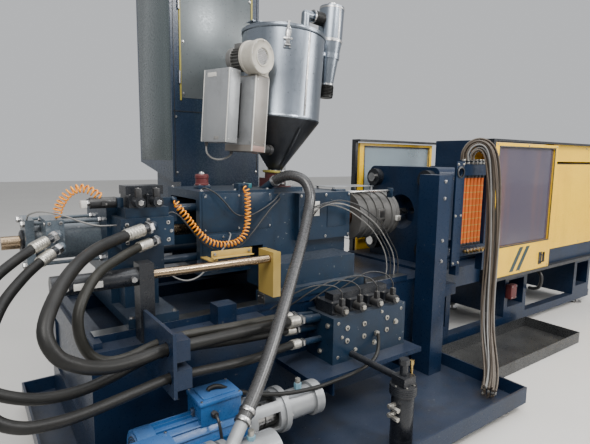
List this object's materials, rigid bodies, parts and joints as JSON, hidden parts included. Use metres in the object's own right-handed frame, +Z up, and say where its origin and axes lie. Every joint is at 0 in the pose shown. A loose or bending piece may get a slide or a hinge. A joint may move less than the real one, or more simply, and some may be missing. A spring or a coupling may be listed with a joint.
{
  "type": "injection moulding machine",
  "caption": "Horizontal injection moulding machine: hydraulic clamp behind yellow guards, sliding injection unit with a leaning hopper dryer, electrical cabinet and open hydraulic bed.",
  "frame": {"origin": "centre of the locating bore at the fixed platen's mould face, on the injection and clamping axis", "axes": "+X along the machine from the injection unit to the clamp and out of the bore, +Y across to the electrical cabinet, +Z up"},
  "size_m": [6.1237, 2.71, 2.95],
  "materials": {
    "machine_paint": "semi-gloss, dusty",
    "block_paint": "semi-gloss",
    "motor_paint": "semi-gloss",
    "dark_paint": "satin, oily",
    "guard_paint": "gloss",
    "window": "tinted, scratched",
    "bare_steel": "machined",
    "chromed": "polished",
    "dryer_steel": "brushed, reflecting",
    "light_paint": "satin",
    "cream_paint": "satin",
    "grey_sheet": "satin",
    "red_paint": "worn",
    "red_plastic": "gloss",
    "black_rubber": "matte, dusty",
    "grey_rubber": "satin, ribbed",
    "orange_line": "gloss",
    "brown_rubber": "matte, dusty",
    "bronze": "worn"
  },
  "bodies": {
    "frame": {"bed_frame": "machine_paint", "clamp_base": "machine_paint", "levelling_feet": "bare_steel", "drip_tray": "dark_paint", "fixed_platen": "machine_paint", "clamp_head": "machine_paint", "tie_bars": "chromed", "tie_bar_nuts": "dark_paint", "guard_rails": "dark_paint", "clamp_cover": "guard_paint", "cabinet_body": "machine_paint", "control_panel": "light_paint", "carriage_cylinder": "dark_paint", "main_manifold": "block_paint", "manifold_valves": "dark_paint", "filter": "dark_paint", "pump_motors": "motor_paint", "pumps": "block_paint", "water_battery": "machine_paint", "hose_main": "black_rubber", "hose_feed": "black_rubber", "hose_upper": "black_rubber", "hose_lower": "black_rubber", "hose_suction": "grey_rubber", "water_hoses": "brown_rubber"},
    "carriage": {"carriage_housing": "block_paint", "barrel": "bare_steel", "heater_bands": "bronze", "barrel_cover": "grey_sheet", "nozzle": "bare_steel", "rear_yoke": "block_paint", "injection_cylinder": "light_paint", "valve_block": "block_paint", "injection_valves": "dark_paint", "carriage_rod": "bronze", "throat_block": "red_paint", "hopper_body": "dryer_steel", "hopper_lid": "dryer_steel", "cyclone": "dryer_steel", "heater_box": "light_paint", "blower": "cream_paint", "coiled_air_line": "orange_line"},
    "injection": {"crosshead": "block_paint", "hydraulic_motor": "dark_paint", "piston_rod": "chromed"},
    "screw_body": {"screw": "bare_steel"},
    "clamp": {"moving_platen": "machine_paint", "clamp_ram": "chromed"},
    "ejector": {"ejector_bar": "bare_steel"},
    "near_guard": {"rear_guard": "guard_paint", "rear_window": "window"},
    "far_guard": {"front_guard": "guard_paint", "front_window": "window"},
    "door": {"cabinet_door": "machine_paint"},
    "switch": {"main_switch": "red_plastic"},
    "stop_button": {"emergency_stop": "red_plastic"},
    "gate": {"gate_slide": "bare_steel"},
    "flap": {"lid_flap": "dryer_steel"},
    "latch": {"lid_latch": "bare_steel"},
    "coupling": {"pump_coupling": "bare_steel"}
  },
  "joints": [
    {"name": "carriage_slide", "type": "slide", "parent": "frame", "child": "carriage", "axis": [1, 0, 0], "range_m": [-0.22, 0.05], "deforming": ["hose_main", "hose_feed", "hose_upper", "hose_lower", "hose_suction"]},
    {"name": "injection_slide", "type": "slide", "parent": "carriage", "child": "injection", "axis": [1, 0, 0], "range_m": [-0.1, 0.06]},
    {"name": "screw_turn", "type": "hinge", "parent": "injection", "child": "screw_body", "pos_m": [-1.9, 0, 0], "axis": [1, 0, 0], "continuous": true},
    {"name": "clamp_slide", "type": "slide", "parent": "frame", "child": "clamp", "axis": [1, 0, 0], "range_m": [-0.41, 0.18]},
    {"name": "ejector_slide", "type": "slide", "parent": "clamp", "child": "ejector", "axis": [-1, 0, 0], "range_m": [0, 0.085]},
    {"name": "near_guard_slide", "type": "slide", "parent": "frame", "child": "near_guard", "axis": [1, 0, 0], "range_m": [0, 0.58]},
    {"name": "far_guard_slide", "type": "slide", "parent": "frame", "child": "far_guard", "axis": [1, 0, 0], "range_m": [-0.02, 0.54]},
    {"name": "door_hinge", "type": "hinge", "parent": "frame", "child": "door", "pos_m": [-2.0395, 1.38, 1.075], "axis": [0, 0, 1], "range_deg": [0, 110]},
    {"name": "switch_turn", "type": "hinge", "parent": "door", "child": "switch", "pos_m": [-1.69, 1.38, 1.3], "axis": [0, 1, 0], "range_deg": [0, 90]},
    {"name": "stop_press", "type": "slide", "parent": "frame", "child": "stop_button", "axis": [0, -1, 0], "range_m": [0, 0.005], "stiffness_N_per_m": 2000},
    {"name": "gate_slide_travel", "type": "slide", "parent": "carriage", "child": "gate", "axis": [0, 1, 0], "range_m": [0, 0.07]},
    {"name": "flap_hinge", "type": "hinge", "parent": "carriage", "child": "flap", "pos_m": [-1.75973, 0, 1.3213], "axis": [0, -1, 0], "range_deg": [0, 100]},
    {"name": "latch_hinge", "type": "hinge", "parent": "carriage", "child": "latch", "pos_m": [-1.64202, -0.25853, 1.14766], "axis": [0.8808, -0.4695, -0.0616], "range_deg": [0, 60]},
    {"name": "coupling_turn", "type": "hinge", "parent": "frame", "child": "coupling", "pos_m": [-2.23, -0.88, -0.83], "axis": [1, 0, 0], "continuous": true}
  ]
}
